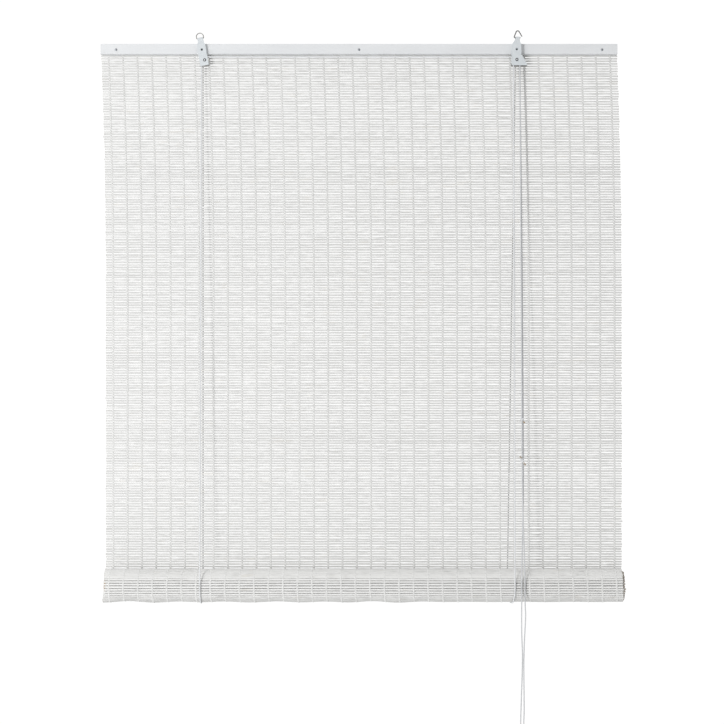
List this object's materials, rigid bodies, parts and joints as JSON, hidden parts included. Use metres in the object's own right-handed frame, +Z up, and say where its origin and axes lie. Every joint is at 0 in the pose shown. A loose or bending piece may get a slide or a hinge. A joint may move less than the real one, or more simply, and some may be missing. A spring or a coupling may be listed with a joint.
{
  "type": "bamboo roll up blind",
  "caption": "Mat of white-painted bamboo slats hung from a batten headrail, rolled up from below by two lift cords that run over pulley blocks to a knotted pull cord.",
  "frame": {"origin": "middle of the headrail's back face, which lies on the wall", "axes": "+Z up, +Y towards the wall, the front faces -Y, +X to the right seen from the front"},
  "size_m": [1.0095, 0.0844, 1.453],
  "materials": {
    "painted_batten": "white paint on wood",
    "painted_bamboo": "thin white paint on bamboo",
    "warp_thread": "twisted cotton thread",
    "raw_wood": "bare wood",
    "painted_sheet": "pale grey paint",
    "zinc_steel": "zinc plated",
    "white_plastic": "moulded",
    "white_cord": "braided synthetic cord"
  },
  "bodies": {
    "headrail": {"front_batten": "painted_batten", "back_batten": "painted_batten", "batten_nails": "zinc_steel", "slat_panel": "painted_bamboo", "warp_threads": "warp_thread", "left_bracket": "painted_sheet", "right_bracket": "painted_sheet", "bracket_screws": "zinc_steel", "left_pulley_pin": "zinc_steel", "right_pulley_pin": "zinc_steel", "lock_pin": "zinc_steel", "anchor_eyes": "zinc_steel", "anchor_knots": "white_cord", "left_cord_back_run": "white_cord", "left_cord_front_run": "white_cord", "left_cord_cross_run": "white_cord", "right_cord_back_run": "white_cord", "right_cord_front_run": "white_cord", "right_cord_over_pulley": "white_cord", "pull_cord_left_upper": "white_cord", "pull_cord_right_upper": "white_cord"},
    "lift_slings": {"left_cord_sling": "white_cord", "right_cord_sling": "white_cord", "pull_cord_left_lower": "white_cord", "pull_cord_right_lower": "white_cord"},
    "roll": {"mat_roll": "painted_bamboo", "bottom_bar": "raw_wood"},
    "pull_ends": {"upper_knot": "white_cord", "lower_knot": "white_cord", "end_knot": "white_cord"},
    "left_pulley": {"left_pulley": "white_plastic"},
    "right_pulley_front": {"right_pulley_front": "white_plastic"},
    "right_pulley_rear": {"right_pulley_rear": "white_plastic"},
    "left_ring": {"left_hanging_ring": "zinc_steel"},
    "right_ring": {"right_hanging_ring": "zinc_steel"},
    "lock_cam": {"lock_cam": "zinc_steel"}
  },
  "joints": [
    {"name": "roll_lift", "type": "slide", "parent": "headrail", "child": "lift_slings", "axis": [0, 0, 1], "range_m": [0, 0.88], "deforming": ["slat_panel", "warp_threads", "left_cord_back_run", "right_cord_back_run", "left_cord_front_run", "right_cord_front_run", "pull_cord_left_upper", "pull_cord_right_upper"]},
    {"name": "roll_turn", "type": "hinge", "parent": "lift_slings", "child": "roll", "pos_m": [0, -0.03725, -1.035], "axis": [-1, 0, 0], "range_deg": [0, 1440]},
    {"name": "pull_slide", "type": "slide", "parent": "lift_slings", "child": "pull_ends", "axis": [0, 0.042, 0.9991], "range_m": [-2.64, 0], "deforming": ["pull_cord_left_lower", "pull_cord_right_lower"]},
    {"name": "left_pulley_turn", "type": "hinge", "parent": "headrail", "child": "left_pulley", "pos_m": [-0.29802, -0.02145, -0.02255], "axis": [0, 1, 0], "continuous": true},
    {"name": "right_front_pulley_turn", "type": "hinge", "parent": "headrail", "child": "right_pulley_front", "pos_m": [0.3043, -0.02605, -0.0226], "axis": [0, 1, 0], "continuous": true},
    {"name": "right_rear_pulley_turn", "type": "hinge", "parent": "headrail", "child": "right_pulley_rear", "pos_m": [0.3043, -0.02145, -0.0226], "axis": [0, 1, 0], "continuous": true},
    {"name": "left_ring_swing", "type": "hinge", "parent": "headrail", "child": "left_ring", "pos_m": [-0.30673, -0.02145, 0.01937], "axis": [0.9848, 0, 0.1736], "range_deg": [-80, 80]},
    {"name": "right_ring_swing", "type": "hinge", "parent": "headrail", "child": "right_ring", "pos_m": [0.3043, -0.02375, 0.02035], "axis": [1, 0, 0], "range_deg": [-80, 80]},
    {"name": "lock_cam_swing", "type": "hinge", "parent": "headrail", "child": "lock_cam", "pos_m": [0.3167, -0.0238, -0.0276], "axis": [0, -1, 0], "range_deg": [0, 40]}
  ],
  "couplings": [
    {"joint": "roll_turn", "follows": "roll_lift", "rad_per_m": 28.56},
    {"joint": "pull_slide", "follows": "roll_lift", "ratio": -3},
    {"joint": "left_pulley_turn", "follows": "roll_lift", "rad_per_m": 317.46},
    {"joint": "right_front_pulley_turn", "follows": "roll_lift", "rad_per_m": 317.46},
    {"joint": "right_rear_pulley_turn", "follows": "roll_lift", "rad_per_m": 317.46}
  ]
}
